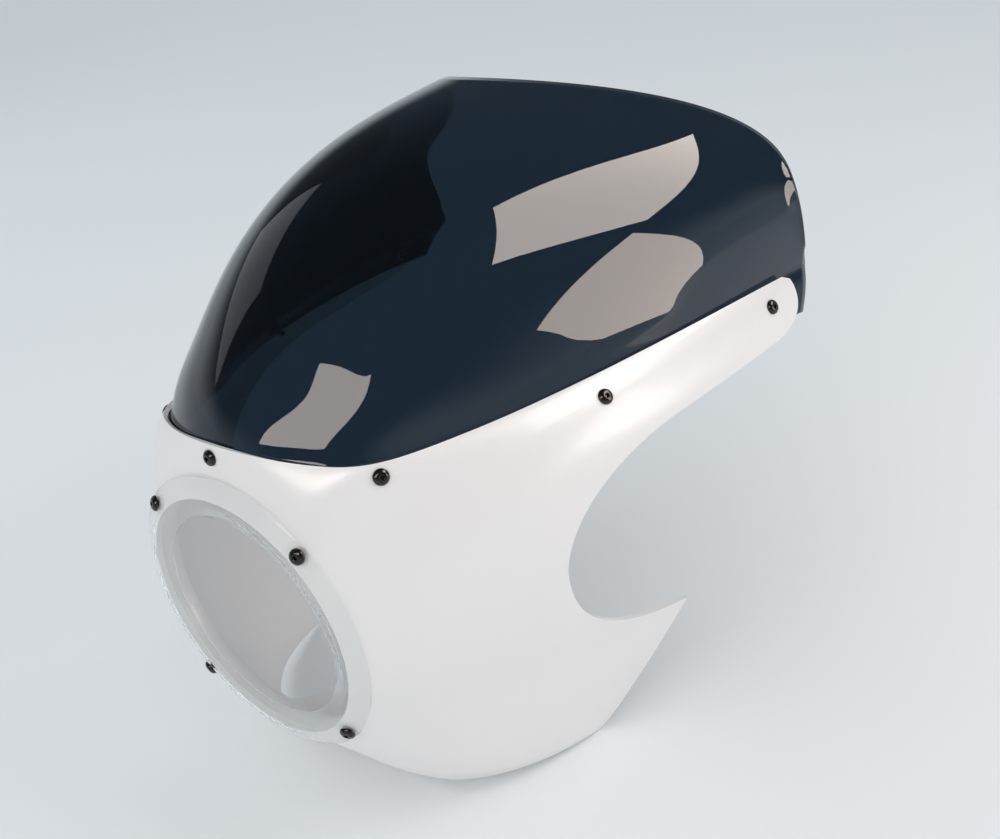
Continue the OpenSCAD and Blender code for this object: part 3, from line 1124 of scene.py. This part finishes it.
    @staticmethod
    def spread(make: Callable[[], bmesh.types.BMesh], frames: Sequence[Matrix], lift: float) -> bmesh.types.BMesh:
        """Set a copy of a mesh at each place.

        Args:
            make: makes one copy.
            frames: the places.
            lift: height above each place in millimetres.

        Returns:
            All copies in one mesh.
        """
        parts = []
        for frame in frames:
            bm = make()
            bm.transform(frame @ Matrix.Translation((0, 0, lift * MM)))
            parts.append(bm)
        return joined(parts)

    def build(self, black: bpy.types.Material, steel: bpy.types.Material) -> None:
        """Make all screws and nuts.

        Args:
            black: finish of the screws.
            steel: finish of the nuts.
        """
        screen, ring = self.screen_frames(), self.ring_frames()
        places = (
            ("screen_screw_set", "screen_screws", screen, self.screen_head_lift),
            ("ring_screw_set", "ring_screws", ring, self.ring_head_lift),
            ("screen_nut_set", "screen_nuts", screen, self.screen_nut_lift),
            ("ring_nut_set", "ring_nuts", ring, self.ring_nut_lift),
        )
        makers = (
            (lambda: self.screw(self.screen_screw), black, "black_screws"),
            (lambda: self.screw(self.ring_screw), black, "black_screws"),
            (lambda: self.nut_mesh(True), steel, "steel_nuts"),
            (lambda: self.nut_mesh(False), steel, "steel_nuts"),
        )
        for (name, node, frames, lift), (make, material, slot) in zip(places, makers):
            made = piece(name, self.spread(make, frames, lift), material)
            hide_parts(node)


# Studio
@dataclass(frozen=True)
class SoftBox:
    """A soft box of the studio: the light that it gives and the cloth that shows in gloss."""

    name: str
    centre: tuple[float, float, float]
    direction: tuple[float, float, float]
    width: float
    height: float
    roll: float
    radiance: float
    tint: str
    cloth: tuple[tuple[float, float], ...] = ()
    glow: float = 0.0

    def build(self) -> None:
        """Hang the lamp, and its cloth where it has one."""
        away = Vector(self.direction).normalized()
        x = Vector((0, 0, 1)).cross(away).normalized()
        turn = Matrix((x, away.cross(x), away)).transposed().to_4x4()
        place = Matrix.Translation(self.centre) @ turn
        self.lamp(place)
        if self.cloth:
            self.sheet(place)

    def lamp(self, place: Matrix) -> None:
        """Make the lamp.

        Args:
            place: frame with its Z axis away from the part.
        """
        light = bpy.data.lights.new(self.name, "AREA")
        light.shape = "RECTANGLE"
        light.size, light.size_y = self.width, self.height
        light.energy = self.radiance * math.pi * self.width * self.height
        light.color = srgb(self.tint)[:3]
        lamp = bpy.data.objects.new(self.name, light)
        bpy.context.scene.collection.objects.link(lamp)
        lamp.matrix_world = place @ Matrix.Rotation(math.radians(self.roll), 4, "Z")
        lamp.visible_glossy = not self.cloth
        lamp.visible_transmission = False

    def sheet(self, place: Matrix) -> None:
        """Make the glowing cloth, seen in gloss alone.

        Args:
            place: frame of its plane.
        """
        bm = bmesh.new()
        corners = [bm.verts.new(place @ Vector((x * MM, y * MM, 0))) for x, y in self.cloth]
        bm.faces.new(corners)
        material = bpy.data.materials.new(self.name + "_cloth")
        material.use_nodes = True
        tree = material.node_tree
        tree.nodes.clear()
        out = add_node(tree, "ShaderNodeOutputMaterial")
        glow = add_node(tree, "ShaderNodeEmission", {"Color": srgb(self.tint), "Strength": self.glow})
        tree.links.new(glow.outputs[0], out.inputs["Surface"])
        made = linked(self.name + "_cloth", bm, material)
        made.visible_camera = made.visible_diffuse = made.visible_transmission = made.visible_shadow = False
        made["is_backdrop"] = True


@dataclass
class Studio:
    """Pale floor, soft light and the camera."""

    floor_z: float
    camera_place: tuple[float, float, float] = (0.54496, -0.33738, 0.42674)
    camera_right: tuple[float, float, float] = (0.76784, 0.61995, -0.16152)
    camera_up: tuple[float, float, float] = (-0.18974, 0.46087, 0.86695)
    focal_px: float = 1300.0
    floor_half: float = 30.0
    room: str = "#E9EEF2"
    room_strength: float = 0.8
    backdrop_low: str = "#C3CBD0"
    backdrop_high: str = "#4A5258"
    backdrop_turn: float = 0.3
    boxes: tuple[SoftBox, ...] = (
        SoftBox(
            "box_rear", (0.896, 0.817, 1.017), (0.611, 0.458, 0.646), 1.0, 0.5, -29, 2.0, "#FFF3EA",
            ((-82, 411), (821, 16), (-153, -428), (-586, 1)), 9.0,
        ),
        SoftBox(
            "box_side", (1.321, 0.687, 0.311), (0.916, 0.372, 0.15), 0.36, 0.86, 12, 2.0, "#FFF1E6",
            ((110, 307), (334, -534), (-60, -230), (-319, 81)), 8.0,
        ),
        SoftBox(
            "box_front", (0.344, -0.991, 0.863), (0.225, -0.789, 0.572), 1.5, 0.42, 22, 1.9, "#FFF4EC",
            ((34, 315), (814, 402), (6, -269), (-855, -449)), 7.0,
        ),
        SoftBox("box_left", (-1.92, -0.06, 1.23), (-0.9, -0.1, 0.55), 1.6, 1.2, 0, 0.6, "#F4FAFF"),
    )

    def build(self) -> None:
        """Make floor, world, lamps and camera."""
        self.floor()
        self.world()
        for box in self.boxes:
            box.build()
        self.camera()

    def floor(self) -> None:
        """Lay the pale matte floor under the part."""
        bm = bmesh.new()
        bmesh.ops.create_grid(bm, x_segments=1, y_segments=1, size=self.floor_half)
        bmesh.ops.translate(bm, verts=bm.verts, vec=(0, 0, self.floor_z - 0.3 * MM))
        ground = linked("floor", bm, PALE_PAPER.build())
        ground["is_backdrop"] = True

    def world(self) -> None:
        """Even soft light from all round, and a backdrop, pale low down and dim above, that is seen."""
        world = bpy.data.worlds.new("studio")
        bpy.context.scene.world = world
        world.use_nodes = True
        tree = world.node_tree
        tree.nodes.clear()
        out = add_node(tree, "ShaderNodeOutputWorld")
        room = add_node(tree, "ShaderNodeBackground", {"Color": srgb(self.room), "Strength": self.room_strength})
        way = add_node(tree, "ShaderNodeTexCoord").outputs["Generated"]
        height = add_node(tree, "ShaderNodeSeparateXYZ", {0: way}).outputs["Z"]
        rise = add_node(
            tree, "ShaderNodeMapRange", {0: height, 1: 0.0, 2: self.backdrop_turn}, interpolation_type="SMOOTHSTEP"
        )
        cloth = add_node(
            tree,
            "ShaderNodeMix",
            {0: rise.outputs[0], 6: srgb(self.backdrop_low), 7: srgb(self.backdrop_high)},
            data_type="RGBA",
        )
        backdrop = add_node(tree, "ShaderNodeBackground", {"Color": cloth.outputs[2], "Strength": 1.0})
        path = add_node(tree, "ShaderNodeLightPath")
        seen = path.outputs["Is Camera Ray"]
        for ray in ("Is Glossy Ray", "Is Transmission Ray"):
            seen = add_node(tree, "ShaderNodeMath", {0: seen, 1: path.outputs[ray]}, operation="MAXIMUM").outputs[0]
        # Light that reaches a matt surface through clear plastic still comes from the room.
        direct = add_node(tree, "ShaderNodeMath", {0: path.outputs["Diffuse Depth"], 1: 0.5}, operation="LESS_THAN")
        seen = add_node(tree, "ShaderNodeMath", {0: seen, 1: direct.outputs[0]}, operation="MULTIPLY").outputs[0]
        shown = add_node(tree, "ShaderNodeMixShader", {0: seen, 1: room.outputs[0], 2: backdrop.outputs[0]})
        tree.links.new(shown.outputs[0], out.inputs["Surface"])

    def camera(self) -> None:
        """Place the camera at the viewing angle of the photograph."""
        data = bpy.data.cameras.new("camera")
        data.sensor_fit = "HORIZONTAL"
        data.sensor_width = SENSOR_WIDTH
        data.lens = self.focal_px * SENSOR_WIDTH / IMAGE_WIDTH
        data.clip_start, data.clip_end = 0.01, 100.0
        right, up = Vector(self.camera_right).normalized(), Vector(self.camera_up)
        back = right.cross(up).normalized()
        up = back.cross(right)
        camera = bpy.data.objects.new("camera", data)
        bpy.context.scene.collection.objects.link(camera)
        camera.matrix_world = Matrix.Translation(self.camera_place) @ Matrix((right, up, back)).transposed().to_4x4()
        bpy.context.scene.camera = camera


def main() -> None:
    """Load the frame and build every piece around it."""
    logging.basicConfig(level=logging.INFO, format="%(message)s")
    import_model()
    low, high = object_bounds()
    form = NoseForm()
    NoseShell(form).build(WHITE_ABS.build())
    BubbleScreen(form).build(SMOKED_ACRYLIC.build())
    LampRing(form).build(CLEAR_ACRYLIC.build())
    Fixings(form).build(BLACK_OXIDE.build(), ZINC_STEEL.build())
    Studio(floor_z=low.z).build()
    bpy.context.scene.view_settings.view_transform = "Standard"
    bpy.context.view_layer.update()
    low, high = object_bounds()


if __name__ == "__main__":
    main()
